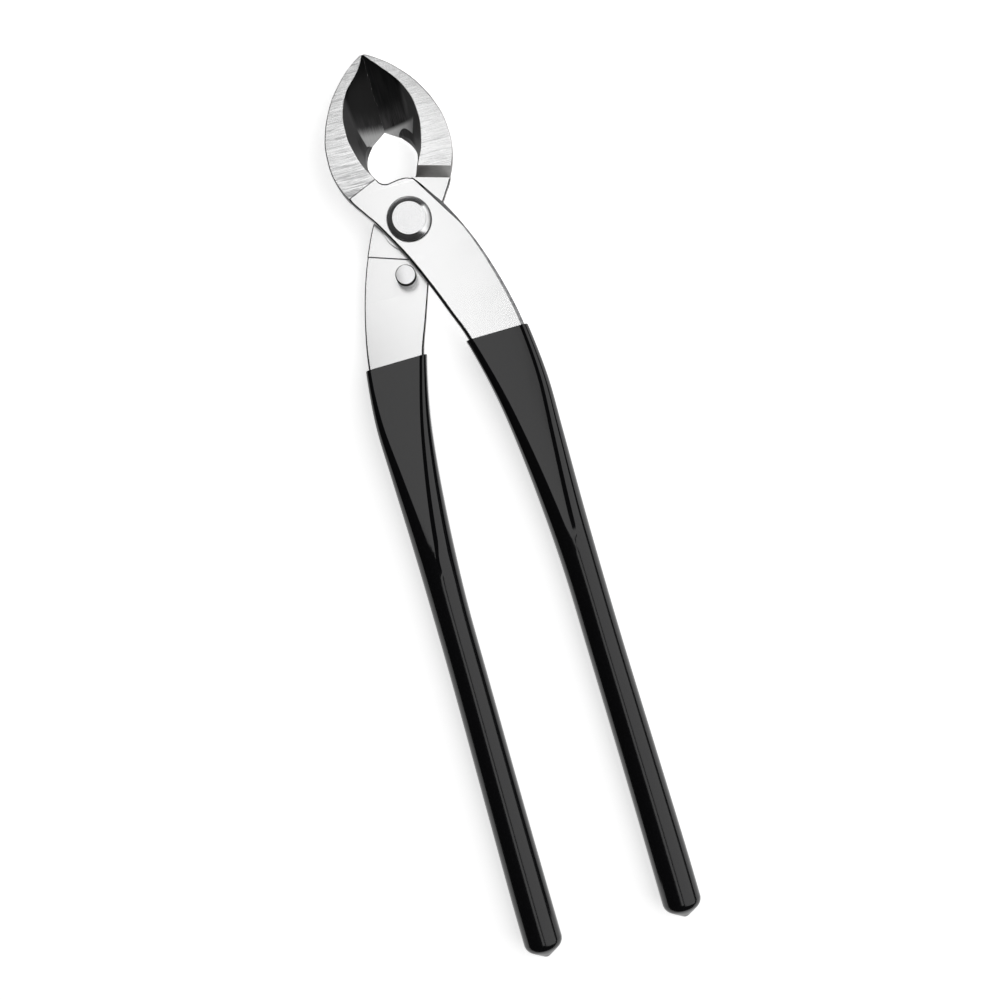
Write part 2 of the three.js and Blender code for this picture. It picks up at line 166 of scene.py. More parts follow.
def in_millimetres(group):
    """The group's sizes as plain numbers, lengths in millimetres."""
    values = {}
    for name, declared in group.__annotations__.items():
        value = getattr(group, name)
        if declared.keywords.get("subtype") == "DISTANCE":
            value = value / MM
        values[name] = value
    return SimpleNamespace(**values)


def steel_plan():
    """The steel's sizes in millimetres with the heights worked out from the back to the front."""
    s = in_millimetres(bpy.context.scene.cutter_steel)
    g = in_millimetres(bpy.context.scene.cutter_grips)
    s.lap_gap = 0.1
    s.axial_gap = 0.05
    s.bore_gap = 0.1
    s.press_gap = 0.05
    s.edge_gap = 0.002
    s.stop_gap = 0.8
    s.overrun = 1
    s.rear = s.tail_height + s.axial_gap
    s.middle = s.rear + s.lever_thickness + s.lap_gap / 2
    s.front = 2 * s.middle - s.rear
    s.boss_face = s.middle + s.lap_gap / 2
    s.lap_face = s.boss_face + s.boss_height
    s.relief_face = s.lap_face + s.relief_depth
    s.jaw_front = s.front - s.root_step
    s.jaw_back = s.rear + s.root_step
    s.head_top = s.front + s.axial_gap + s.head_height
    s.rod = s.rod_diameter / 2
    s.head_half = s.head_width / 2
    s.hollow_half = s.hollow_width / 2
    s.hole_half = s.hole_width / 2
    s.jaw_length = s.jaw_reach - s.neck_reach
    s.coat = g.fit + g.wall
    s.tang_reach = s.handle_reach - g.drip_length - s.coat
    return s


# The rows of shares that the smooth outlines run through, as in the part's own solids

LEVER_TOP = [(1.27, -0.31, 0.76), (1.07, -0.269, 0.86), (0.84, -0.229, 1.008), (0.44, -0.085, 1.026),
             (0.04, 0.0635, 1.023)]
LEVER_BARE = [(0.24, 0.2895, 0.985), (0.48, 0.455, 0.93), (0.74, 0.603, 0.838), (1, 0.726, 0.685)]
LEVER_GRIP = [(0.09, 0.846, 0.504), (0.18, 0.898, 0.308), (0.29, 0.934, 0.14), (0.41, 0.959, 0.035),
              (0.55, 0.968, 0.022), (0.75, 0.988, 0.045), (0.9, 0.999, 0.073)]
INNER_RAMP = (0.093, 0.283)
OUTER_RAMP = (0.133, 0.495)
ROUND_RAMP = (0.133, 0.535)
FULL_ROUND = 0.97
EDGE_GROWTH = (0.65, 1.15)
EDGE_GROWS = (0, 0.13)
INNER_ROUND = 0.15
RIVET_SWELL = 0.53
FOOT_CHAMFER = 0.15
STEEL_SHARP, TURNED_SHARP, VINYL_SHARP = 35, 30, 40
PAD_REACH = 0.5
PAD_LEAN = 0.3
LEVER_STEPS = 10
LIP_STEPS = 9
END_STEPS = 8
MOUTH = (len(LEVER_TOP) + len(LEVER_BARE) - 1) * LEVER_STEPS
THINNEST = 1e-3
GRIP_END = [(0, 1), (0.06, 0.998), (0.23, 0.962), (0.42, 0.855), (0.6, 0.65), (0.78, 0.39), (0.93, 0.165),
            (1, 0)]
JAW = [
    (-0.058, 0.82, 0.446, 0.92, 0.85), (0.005, 0.892, 0.5, 0.93, 0.75), (0.094, 0.961, 0.665, 0.905, 0.6),
    (0.196, 1, 0.845, 0.8, 0.41), (0.353, 0.986, 0.984, 0.716, 0.41), (0.46, 0.93, 1, 0.75, 0.44),
    (0.571, 0.84, 0.956, 0.826, 0.58), (0.717, 0.667, 0.751, 0.93, 0.8), (0.855, 0.425, 0.405, 0.97, 0.9),
    (0.947, 0.209, 0.157, 0.975, 0.9), (1, 0.04, 0.024, 0.86, 0.85),
]
JAW_STEPS = 8
BEVEL_STEPS = 14
BEVEL_HOLLOW = 1.3
BACK_ROUND = 2.6
CREASE_FROM = 0.88
RIM_LIP = 0.25
LIP_SHARE = 0.2
CORNER_SHARE = 0.25
WALL_BENDS = (0.2, 0.93)
CORNER_STEPS = 5
LIP_BEND_STEPS = 3
RIM_FALL_START = 0.06
BACK_BULGE = 0.38
WALL_FOOT = 0.36
TIP_NARROWING = 0.4
TIP_NARROWS = (0.74, 0.97)
HOLE_SIDE = [(0, 0.417), (0.586, 0.343), (0.854, 0.278), (0.987, 0.218), (1, 0.165), (0.917, 0.091),
             (0.73, 0.022)]
HOLE_NECK = [(-0.62, 0.004), (-0.44, -0.006), (-0.19, -0.001), (0.06, 0.004), (0.31, 0.001),
             (0.51, -0.014)]
HOLE_STEPS = 6
NECK_ENDS = (0.03, 0.1)
NECK_SPREAD = 0.06
SCOOP_SLOPE = 0.5
SCOOP = (0.16, 0.29)
SHOULDER_LINE = (1.17, -0.3)
ROOT_LINE = (1.355, 0.398)
PAD_LINE = (-0.946, 0.354)
SHOULDER_LEAN = 0.54
FILED_AT = (8.94, 5.66)
FILED_OUTWARD = (0.857, 0.515)
FILED_SLOPE = 0.72


# Small geometry helpers, all in millimetres

def mix(a, b, t):
    return a + (b - a) * t


def eased(value, ends):
    t = min(1, max(0, (value - ends[0]) / (ends[1] - ends[0])))
    return t * t * (3 - 2 * t)


def smooth_rows(rows, steps):
    """Rows with more rows between them, each column on its own smooth curve."""
    last = len(rows) - 1
    made = []
    for step in range(last * steps + 1):
        at = min(step // steps, last - 1)
        t = step / steps - at
        near = [rows[max(at - 1, 0)], rows[at], rows[at + 1], rows[min(at + 2, last)]]
        made.append(tuple(on_curve(t, *column) for column in zip(*near)))
    return made


def on_curve(t, before, start, end, after):
    """A point between start and end on a smooth curve through all four."""
    out, into = (end - before) / 2, (after - start) / 2
    return ((2 * start - 2 * end + out + into) * t ** 3
            + (-3 * start + 3 * end - 2 * out - into) * t ** 2 + out * t + start)


def rounded(before, corner, after, steps):
    """Points of a soft bend from one point to another that leans on a corner."""
    points = []
    for step in range(steps + 1):
        t = step / steps
        points.append(tuple(mix(mix(a, b, t), mix(b, c, t), t) for a, b, c in zip(before, corner, after)))
    return points


def skin(name, rings, turn=AS_DRAWN):
    """A closed mesh over rings that have the same number of points, turned or mirrored by a matrix."""
    count = len(rings[0])
    vertices = [point for ring in rings for point in ring]
    faces = [tuple(range(count))[::-1], tuple(range(len(vertices) - count, len(vertices)))]
    for ring in range(len(rings) - 1):
        for side in range(count):
            here, beside = ring * count + side, ring * count + (side + 1) % count
            faces.append((here, beside, beside + count, here + count))
    mesh = bpy.data.meshes.new(name)
    mesh.from_pydata(vertices, [], faces)
    mesh.transform(turn)
    tidy = bmesh.new()
    tidy.from_mesh(mesh)
    bmesh.ops.remove_doubles(tidy, verts=tidy.verts, dist=SAME_POINT)
    bmesh.ops.recalc_face_normals(tidy, faces=tidy.faces)
    tidy.to_mesh(mesh)
    tidy.free()
    return mesh


def turned(profile, x=0, y=0, sides=96, turn=AS_DRAWN):
    """A closed turned piece; the profile is radius and height, from the axis to the axis."""
    angles = [2 * math.pi * n / sides for n in range(sides)]
    rings = []
    for radius, z in profile:
        radius = max(radius, 10 * SAME_POINT)
        rings.append([(x + radius * math.cos(angle), y + radius * math.sin(angle), z) for angle in angles])
    return skin("turned", rings, turn)


def disc(radius, low, high, x=0, y=0, turn=AS_DRAWN):
    return turned([(0, low), (radius, low), (radius, high), (0, high)], x, y, turn=turn)


def plain_object(name, data):
    made = bpy.data.objects.new(name, data)
    bpy.context.scene.collection.objects.link(made)
    return made


def evaluated_mesh(made):
    """The object's mesh with its modifiers worked in."""
    bpy.context.view_layer.update()
    seen = made.evaluated_get(bpy.context.evaluated_depsgraph_get())
    return bpy.data.meshes.new_from_object(seen)


def shaped(base, steps):
    """The base mesh after a list of unions and differences."""
    body = plain_object("body", base)
    tools = []
    for operation, mesh in steps:
        tool = plain_object("tool", mesh)
        cut = body.modifiers.new("cut", "BOOLEAN")
        cut.operation = operation
        cut.solver = "MANIFOLD"
        cut.object = tool
        tools.append(tool)
    result = evaluated_mesh(body)
    for used in [body, *tools]:
        bpy.data.objects.remove(used)
    if not result.polygons:
        raise RuntimeError("a cut left nothing of the solid")
    return result


def is_ruled(edge, lines):
    """Whether an edge runs along one of the lines that the bar's tree marks as sharp."""
    one, other = (round(vertex[lines]) for vertex in edge.verts)
    return one == other > 0


def is_soft(edge, sharp):
    """Whether the shading runs over an edge: not if it's sharp, nor where a large flat changes finish."""
    if not edge.is_manifold or edge.calc_face_angle(math.pi) >= sharp:
        return False
    one, other = edge.link_faces
    if one.material_index == other.material_index:
        return True
    return max(one.calc_area(), other.calc_area()) < LARGE_FLAT


def finished(name, mesh, body, node, materials, sharp=STEEL_SHARP):
    """The piece that is shown for a CAD node: in metres, closed, and smooth but for its sharp edges."""
    mesh.transform(Matrix.Scale(MM, 4))
    mesh.name = name
    tidy = bmesh.new()
    tidy.from_mesh(mesh)
    bmesh.ops.remove_doubles(tidy, verts=tidy.verts, dist=WELD)
    open_edges = [edge for edge in tidy.edges if edge.is_boundary]
    for face in bmesh.ops.holes_fill(tidy, edges=open_edges, sides=4)["faces"]:
        beside = next(other for other in face.edges[0].link_faces if other != face)
        face.material_index = beside.material_index
    lines = tidy.verts.layers.float.get(RULED)
    for edge in tidy.edges:
        edge.smooth = is_soft(edge, math.radians(sharp)) and not (lines and is_ruled(edge, lines))
    for face in tidy.faces:
        face.smooth = True
    if lines:
        tidy.verts.layers.float.remove(lines)
    tidy.to_mesh(mesh)
    tidy.free()
    zones = [min(face.material_index, len(materials) - 1) for face in mesh.polygons]
    mesh.materials.clear()
    for material in materials:
        mesh.materials.append(material)
    mesh.polygons.foreach_set("material_index", zones)
    made = plain_object(name, mesh)
    smoothing = made.modifiers.new("weighted", "WEIGHTED_NORMAL")
    smoothing.keep_sharp = True
    smoothing.weight = 100
    plain = evaluated_mesh(made)
    made.modifiers.clear()
    made.data = plain
    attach(made, body)
    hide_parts(node)


# Shader and field maths

def operator(operation, reflected=False):
    """A method of a value that adds a Math node for it and the others."""
    def method(self, *others):
        values = [*others, self] if reflected else [self, *others]
        return self.tree.add("ShaderNodeMath", {"operation": operation}, values).out()
    return method


class Value:
    """A node socket whose sums and products add Math nodes."""
    __add__ = __radd__ = operator("ADD")
    __mul__ = __rmul__ = operator("MULTIPLY")
    __sub__, __rsub__ = operator("SUBTRACT"), operator("SUBTRACT", reflected=True)
    __truediv__, __rtruediv__ = operator("DIVIDE"), operator("DIVIDE", reflected=True)
    __pow__, __mod__ = operator("POWER"), operator("MODULO")
    smaller, larger = operator("MINIMUM"), operator("MAXIMUM")
    floor, absolute = operator("FLOOR"), operator("ABSOLUTE")
    cosine, sine = operator("COSINE"), operator("SINE")

    def __init__(self, tree, socket):
        self.tree, self.socket = tree, socket

    def held(self):
        """The value kept between nought and one."""
        return self.larger(0).smaller(1)

    def eased(self, start, end):
        """Nought before the start, one past the end, and smooth between them."""
        return self.tree.add("ShaderNodeMapRange", {"interpolation_type": "SMOOTHSTEP", "clamp": True},
                             {"Value": self, "From Min": start, "From Max": end}).out("Result")


class Added:
    """A node that was added, with its sockets in reach."""

    def __init__(self, tree, node):
        self.tree, self.node = tree, node

    def out(self, key=0):
        return Value(self.tree, self.node.outputs[key])


class Tree:
    """A node tree, and the one method that adds to it."""

    def __init__(self, nodes):
        self.nodes = nodes

    def add(self, kind, settings=None, inputs=None):
        node = self.nodes.nodes.new(kind)
        for name, value in (settings or {}).items():
            setattr(node, name, value)
        for key, value in inputs.items() if isinstance(inputs, dict) else enumerate(inputs or []):
            self.put(node.inputs[key], value)
        return Added(self, node)

    def put(self, socket, value):
        """Links a value to a socket, or sets it there."""
        if isinstance(value, Value):
            self.nodes.links.new(value.socket, socket)
        elif socket.type == "RGBA":
            socket.default_value = (*value, 1)
        else:
            socket.default_value = value

    def parts(self, vector):
        split = self.add("ShaderNodeSeparateXYZ", None, [vector])
        return split.out(0), split.out(1), split.out(2)

    def colour_mix(self, factor, first, second):
        return self.add("ShaderNodeMix", {"data_type": "RGBA"}, {0: factor, 6: first, 7: second}).out(2)

    def toned(self, factor, colour_value, low, high):
        """A colour between two strengths of itself."""
        return self.colour_mix(factor, tinted(colour_value, low), tinted(colour_value, high))


class Finish(Tree):
    """A material under the hand: its places in millimetres, its principled shader and the colours."""

    def __init__(self, name):
        self.material = bpy.data.materials.new(name)
        self.material.use_nodes = True
        super().__init__(self.material.node_tree)
        self.shader = Added(self, self.nodes.nodes["Principled BSDF"])
        self.coordinates = self.add("ShaderNodeTexCoord")
        self.place = self.add("ShaderNodeVectorMath", {"operation": "SCALE"},
                              {0: self.coordinates.out("Object"), "Scale": 1 / MM}).out()
        self.x, self.y, self.z = self.parts(self.place)
        chosen = bpy.context.scene.cutter_finish
        self.colours = SimpleNamespace(
            **{key: tuple(getattr(chosen, key)) for key in chosen.__annotations__})

    def noise(self, scales, detail=3, roughness=0.5, seed=0):
        """Noise whose grain is as fine along each axis as the scales say, per millimetre."""
        return self.noise_at(self.place, scales, (seed, 2 * seed, -seed), detail, roughness)

    def noise_at(self, places, scales, shift, detail, roughness):
        scaled = self.add("ShaderNodeVectorMath", {"operation": "MULTIPLY_ADD"}, [places, scales, shift])
        return self.add("ShaderNodeTexNoise", None, {
            "Vector": scaled.out(), "Scale": 1, "Detail": detail, "Roughness": roughness}).out()

    def sideways(self):
        """How far the surface looks to the right, or to the left below nought."""
        return self.parts(self.coordinates.out("Normal"))[0]

    def bump(self, height, distance, strength=1):
        return self.add("ShaderNodeBump", None, {
            "Strength": strength, "Distance": distance * MM, "Height": height}).out()

    def done(self, **inputs):
        """Sets the shader's sockets and gives the material."""
        for key, value in inputs.items():
            self.put(self.shader.node.inputs[key.replace("_", " ")], value)
        return self.material


def tinted(colour_value, factor):
    return tuple(channel * factor for channel in colour_value)


def satin_face():
    """Ground and satined faces of the levers: faint cloudy patches and a very fine grain along them."""
    f = Finish("satin_face")
    clouds = f.noise((0.11, 0.16, 0.11), detail=4, roughness=0.55, seed=3)
    grain = f.noise((5, 0.35, 5), detail=2, seed=5)
    shade = (clouds.eased(0.3, 0.72) * 0.75 + grain * 0.25).held()
    return f.done(
        Base_Color=f.toned(shade, f.colours.face, 0.975, 1.03),
        Metallic=1.0,
        Roughness=0.23 + clouds * 0.05,
        Normal=f.bump(grain, 0.002, 0.3))


def ground_rim(name, strength, seed, crease, crease_shade_depth):
    """Jaw rims ground across: fine near level lines with a few deeper ones, darker at the root's crease,
    where a dark line of painted shade runs along the step.
    """
    f = Finish(name)
    c = f.colours
    wave = f.noise((0.09, 0.09, 0.09), detail=1, seed=seed + 9) * 0.8
    waved = f.add("ShaderNodeCombineXYZ", None, [f.x, f.y + wave + f.x * 0.03, f.z]).out()

    def lines(along, across, detail, shift):
        return f.noise_at(waved, (along, across, along), (shift, shift * 2, shift), detail, 0.6)

    fine = lines(0.14, 4.2, 2, seed)
    deep = lines(0.1, 1.3, 3, seed + 4)
    patches = f.noise((0.3, 0.3, 0.3), detail=2, seed=seed + 2)
    scored = deep.eased(0.5, 0.7) * patches.eased(0.3, 0.65) * 0.6 + fine.eased(0.38, 0.7) * 0.6
    root = 1 - (f.y + f.x.absolute() * 0.1).eased(13.5, 27)
    # A dark line of painted shade along the crease at the root's step, with darker grinding lines beside
    # it.
    above = f.y - crease[0] - f.x * crease[1]
    crease_shade = above.eased(0.0, 0.12) * (1 - above.eased(0.3, 0.55)) * crease_shade_depth
    near_crease_shade = 1 - above.absolute().eased(0.3, 3.5)
    dark = (scored * strength * (1 + root * 0.9 + near_crease_shade * crease_shade_depth * 1.6)).held()
    return f.done(
        Base_Color=f.colour_mix(crease_shade, f.colour_mix(dark, c.rim, c.rim_line), tinted(c.rim_line, 0.12)),
        Metallic=1.0,
        Roughness=0.24 + dark * 0.15,
        Normal=f.bump(1 - scored, 0.008, 0.5))


def forged_side():
    """Slopes and sides: plain belt finish, darker than the faces, with painted shade on the jaws' outer
    walls near the root.
    """
    f = Finish("forged_side")
    side = f.colours.side
    clouds = f.noise((0.25, 0.25, 0.25), detail=4, seed=7)
    grain = f.noise((0.6, 0.6, 6), detail=2, seed=8)
    forged = f.toned((clouds * 0.6 + grain * 0.4).eased(0.3, 0.7), side, 0.82, 1.1)
    # Painted shade on the jaws' outer walls near the root.
    outer_wall = f.x.absolute().eased(13, 14.5) * f.sideways().absolute().eased(0.4, 0.7)
    root_wall_shade = (1 - f.y.eased(12.5, 19)) * outer_wall
    return f.done(
        Base_Color=f.colour_mix(root_wall_shade * 0.8, forged, tinted(side, 0.1)),
        Metallic=1.0,
        Roughness=0.38 + grain * 0.1,
        Normal=f.bump(grain, 0.006, 0.5))


def edge_steel(name, left, right, neck_shade_strength, filed):
    """Rounded edges of the levers, painted darker than the faces that they border as shade, most so away
    from the light, with a painted shadow near the neck and beside the filed flat.
    """
    f = Finish(name)
    edge = f.colours.edge
    wear = f.noise((0.8, 0.8, 0.8), detail=3, seed=31)
    # Painted shadow at the neck and beside the filed flat, scaled by the strength given.
    past_filed = (f.x - FILED_AT[0]) * FILED_OUTWARD[0] + (f.y - FILED_AT[1]) * FILED_OUTWARD[1] + filed
    filed_flat_shade = (1 - past_filed.eased(0.3, 0.6)) * f.y.eased(-3, 1)
    dark = (f.y.eased(6.5, 9.5) + filed_flat_shade * 0.4).held() * neck_shade_strength
    lit = f.toned(dark, edge, right, 0.05)
    # Painted shade by facing: edges facing left take the left strength, those facing right the right one.
    side_shade = f.colour_mix(f.sideways().eased(-0.05, 0.05), tinted(edge, left), lit)
    return f.done(
        Base_Color=f.colour_mix(wear.eased(0.35, 0.7) * 0.5, side_shade, tinted(edge, min(left, right) * 0.6)),
        Metallic=1.0,
        Roughness=0.36 + wear * 0.08,
        Normal=f.bump(wear, 0.004, 0.4))


def dark_hollow():
    """Hollow of the jaws: dark, faintly streaked along, with bright heel facets beside the notch; painted
    light and shade set its tones on each jaw, along it and on the wall under the rims.
    """
    f = Finish("dark_hollow")
    c = f.colours
    streaks = f.noise((3.2, 0.12, 0.8), detail=3, seed=11)
    clouds = f.noise((0.35, 0.12, 0.3), detail=2, seed=13)
    soft = (streaks * 0.5 + clouds * 0.5).eased(0.35, 0.75)
    out = f.x.absolute()
    on_left = 1 - f.x.eased(-0.05, 0.05)
    # Painted light and shade: the hollow's tones differ between the two jaws and along them, and its wall
    # under the rims is painted lighter.
    lower, upper = f.toned(on_left, c.hollow, 9, 4), f.toned(on_left, c.hollow, 1.9, 0.5)
    blade = f.colour_mix(f.y.eased(29, 39), lower, upper)
    shadowed = f.colour_mix(soft, blade, tinted(c.hollow, 0.7))
    wall = (out - 7.4 - (f.y - 33).absolute() * 0.06).eased(0, 1.4) * (1 - f.y.eased(42, 50))
    walled = f.colour_mix(wall, shadowed, f.toned(on_left, c.wall, 2.2, 1))
    foot = (1 - f.y.eased(21, 29)) * (out - 5.2).eased(0, 1.2)
    footed = f.colour_mix(foot * (0.7 + streaks * 0.4), walled, tinted(c.wall, 1.8))
    scoop_edge = 7.9 - (f.y - 19).larger(0) ** 2 * 0.085
    scoop = (1 - (out - scoop_edge).eased(-0.05, 0.2)) * (1 - f.y.eased(24.6, 25.2))
    scooped = f.colour_mix(scoop, footed, c.hollow)
    # Heel facets: bright ground steel beside the notch; their different strengths on the two jaws and their
    # fall-off across are painted light.
    left_top = 1 - f.y.eased(28.8, 33 + (streaks - 0.5) * 3)
    left_side = (f.x + 7.5 - (30.4 - f.y) * 0.27).eased(0, 0.25)
    left_facet = on_left * left_top * left_side * (f.y - 26.3).eased(0, 0.2)
    arch = 28.7 - (f.x - 5.75) ** 2 * 0.48
    right_side = (8.3 + (f.y - 26) * 0.36 - f.x).eased(0, 0.25)
    right_facet = (1 - on_left) * (1 - f.y.eased(29.2, 31)) * (f.y - arch).eased(0, 0.25) * right_side
    facets = (left_facet + right_facet * (1 - f.x * 0.04)) * (0.75 + streaks * 0.4)
    return f.done(
        Base_Color=f.colour_mix(facets.held(), scooped, f.colour_mix(on_left, c.heel_right, c.heel)),
        Metallic=left_facet,
        Specular_IOR_Level=0.12,
        Roughness=0.4 + streaks * 0.12,
        Normal=f.bump(streaks, 0.004, 0.4))


def turned_steel(name, x, y, flat, wall, side_shade, shaded):
    """Rivet and pin: turned rings on the flat, painted shade in places on the bevel, and a wall painted
    dark as shade.

    Side shade says how much the bevel's streaky painted shade shows, and shaded how dark it is away from
    the light."""
    f = Finish(name)
    rivet = f.colours.rivet
    right, along = f.x - x, f.y - y
    out = (right ** 2 + along ** 2) ** 0.5 + 1e-3
    rings = f.add("ShaderNodeTexNoise", {"noise_dimensions": "1D"},
                  {"W": out * 5, "Scale": 1, "Detail": 2}).out()
    clouds = f.noise((0.3, 0.5, 0.3), detail=3, seed=17)
    streaks = f.noise((0.9, 0.25, 0.5), detail=3, seed=37)
    bevel = out.eased(flat - 0.02, flat + 0.1)
    foot = out.eased(wall - 0.25, wall - 0.02)
    across, up = right / out, along / out

    def outwards(start, end):
        return out.eased(mix(flat, wall, start), mix(flat, wall, end))

    # Painted shade on the bevel: a streaky crescent at the lower left, patches on the right and lower
    # right, a line at the flat's border, darkness away from the upper left, and a dark wall at the foot.
    crescent = outwards(0.3, 0.6) * (across * -0.7 + up * -0.7).eased(0.5, 0.78) * streaks * 0.4
    right_shade = bevel * (across * 0.97 - up * 0.24).eased(0.75, 0.97) * (0.2 + outwards(0.3, 1) * streaks * 0.9)
    lower_right_shade = bevel * (across * 0.6 - up * 0.8).eased(0.5, 0.8) * (0.1 + streaks * 0.12)
    inner_line = bevel * (1 - outwards(0.04, 0.2)) * 0.25
    shadow = bevel * (1 - (across * -0.6 + up * 0.8).eased(0.15, 0.7))
    above_back = f.z.eased(8, 9)
    painted_shade = ((crescent + right_shade) * side_shade + lower_right_shade + inner_line + shadow * shaded + foot) * above_back
    polished = f.toned((rings * 0.5 + clouds * 0.5).eased(0.3, 0.75), rivet, 0.98, 1.03)
    return f.done(
        Base_Color=f.colour_mix(painted_shade.held(), polished, tinted(rivet, 0.045)),
        Metallic=1.0,
        Roughness=0.26 - bevel * 0.1 + rings * 0.03 + foot * 0.75,
        Normal=f.bump(rings, 0.002, 0.2))


def dipped_vinyl():
    """Glossy black vinyl with the faint unevenness of dipping."""
    f = Finish("dipped_vinyl")
    swell = f.noise((0.12, 0.05, 0.12), detail=2, seed=19)
    specks = f.noise((1.6, 1.6, 1.6), detail=3, seed=23)
    return f.done(
        Base_Color=f.toned(specks.eased(0.4, 0.8), f.colours.vinyl, 1, 2.2),
        Roughness=0.05 + specks * 0.04 + (-1 * f.y).eased(96, 112) * 0.07,
        IOR=1.5,
        Normal=f.bump(swell * 0.9 + specks * 0.02, 0.05, 0.35))


# The swept bar: a rounded rectangle of changing size along stations, by Geometry Nodes

STEP_FADES = (100, 108)
OVAL_FROM = 0.92
NEARLY_WHOLE = 1e-4
COLUMNS_JOIN = 1e-4
STATION_SIZES = ("half_width", "half_height", "round_high", "round_low")
STATION_PARTS = ("place", "middle", "centre", "coated", *STATION_SIZES)
BAR_INPUTS = (("Coat", "NodeSocketFloat", 0.0), ("Corner steps", "NodeSocketInt", 8),
              ("Step height", "NodeSocketFloat", 0.0), ("Step width", "NodeSocketFloat", 0.0),
              ("Step side", "NodeSocketFloat", 1.0), ("Material", "NodeSocketMaterial", None))


def whole(value):
    """The whole part of a count that may fall just short of it."""
    return (value + NEARLY_WHOLE).floor()


def bar_tree():
    """A tree that sweeps a rounded rectangle along stations and lays a coat of vinyl over it."""
    name = "Rounded bar along stations"
    if name in bpy.data.node_groups:
        return bpy.data.node_groups[name]
    group = bpy.data.node_groups.new(name, "GeometryNodeTree")
    group.interface.new_socket("Stations", in_out="INPUT", socket_type="NodeSocketGeometry")
    for title, kind, value in BAR_INPUTS:
        socket = group.interface.new_socket(title, in_out="INPUT", socket_type=kind)
        if value is not None:
            socket.default_value = value
    group.interface.new_socket("Bar", in_out="OUTPUT", socket_type="NodeSocketGeometry")
    t = Tree(group)
    given = t.add("NodeGroupInput")
    stations, coat, steps = given.out("Stations"), given.out("Coat"), given.out("Corner steps")
    points = t.add("GeometryNodeAttributeDomainSize", {"component": "MESH"}, {"Geometry": stations})
    around = (steps + 1) * 4
    grid = t.add("GeometryNodeMeshGrid", None,
                 {"Vertices X": points.out("Point Count"), "Vertices Y": around + 1})
    index = t.add("GeometryNodeInputIndex").out()
    station = whole(index / (around + 1))
    turn = index - station * (around + 1)
    corners_passed = whole(turn / (steps + 1))
    corner = corners_passed % 4
    step = turn - corners_passed * (steps + 1)
    angle = (corner + step / steps) * (math.pi / 2)
    up = 1 - whole(corner / 2) * 2
    right = 1 - whole(((corner + 1) % 4) / 2) * 2

    def at_station(part):
        value = t.add("GeometryNodeInputNamedAttribute", {"data_type": "FLOAT"}, {"Name": part})
        return t.add("GeometryNodeSampleIndex", {"data_type": "FLOAT", "domain": "POINT", "clamp": True},
                     {"Geometry": stations, "Value": value.out("Attribute"), "Index": station}).out("Value")

    part = {name: at_station(name) for name in STATION_PARTS}
    grow = part["coated"] * coat
    half_width, half_height = part["half_width"] + grow, part["half_height"] + grow
    corner_round = part["round_low"] + (part["round_high"] - part["round_low"]) * (up + 1) * 0.5 + grow
    slimmest = half_width.smaller(half_height)
    corner_round = corner_round.smaller(slimmest * FULL_ROUND)
    oval = (corner_round / slimmest).eased(OVAL_FROM, FULL_ROUND)
    corner_width = corner_round + (half_width - corner_round) * oval
    x = part["middle"] + right * (half_width - corner_width) + corner_width * angle.cosine()
    z = part["centre"] + up * (half_height - corner_round) + corner_round * angle.sine()
    fading = 1 - (-1 * part["place"]).eased(*STEP_FADES)
    stepped = (1 - corner % 2) * (up * given.out("Step side") + 1) * 0.5 * part["coated"] * fading
    last = whole(step / steps)
    crest = whole((step + 1) / steps) - last
    x = x - right * last * stepped * given.out("Step width").smaller((half_width - corner_width) * 0.5)
    z = z + up * (1 - last) * stepped * given.out("Step height") * angle.sine() ** 4
    place = t.add("ShaderNodeCombineXYZ", None, [x, part["place"], z]).out()
    moved = t.add("GeometryNodeSetPosition", None, {"Geometry": grid.out("Mesh"), "Position": place}).out()
    line = (last + crest * 2) * (stepped + 0.98).floor()
    ruled = t.add("GeometryNodeStoreNamedAttribute", {"data_type": "FLOAT", "domain": "POINT"},
                  {"Geometry": moved, "Name": RULED, "Value": line}).out()
    joined = t.add("GeometryNodeMergeByDistance", None, {"Geometry": ruled, "Distance": COLUMNS_JOIN}).out()
    real = t.add("GeometryNodeRealizeInstances", None, {"Geometry": joined}).out()
    painted = t.add("GeometryNodeSetMaterial", None, {"Geometry": real, "Material": given.out("Material")})
    result = group.nodes.new("NodeGroupOutput")
    group.links.new(painted.out().socket, result.inputs["Bar"])
    return group


def swept_bar(stations, turn, coat=0.0, corner_steps=6, material=None, step=(0.0, 0.0, 1.0)):
    """The mesh of a bar swept along the stations. Step is the ridge's height, width and side."""
    points = bpy.data.meshes.new("stations")
    points.from_pydata([(0, station["place"], 0) for station in stations], [], [])
    for part in STATION_PARTS:
        values = points.attributes.new(part, "FLOAT", "POINT")
        values.data.foreach_set("value", [station[part] for station in stations])
    holder = plain_object("stations", points)
    sweep = holder.modifiers.new("sweep", "NODES")
    sweep.node_group = bar_tree()
    given = dict(zip([title for title, kind, value in BAR_INPUTS], (coat, corner_steps, *step, material)))
    for socket in sweep.node_group.interface.items_tree:
        if socket.name in given:
            sweep[socket.identifier] = given[socket.name]
    mesh = evaluated_mesh(holder)
    bpy.data.objects.remove(holder)
    tidy = bmesh.new()
    tidy.from_mesh(mesh)
    open_edges = [edge for edge in tidy.edges if edge.is_boundary]
    bmesh.ops.holes_fill(tidy, edges=open_edges, sides=0)
    bmesh.ops.transform(tidy, matrix=turn, verts=tidy.verts)
    bmesh.ops.recalc_face_normals(tidy, faces=tidy.faces)
    tidy.to_mesh(mesh)
    tidy.free()
    return mesh


# The levers

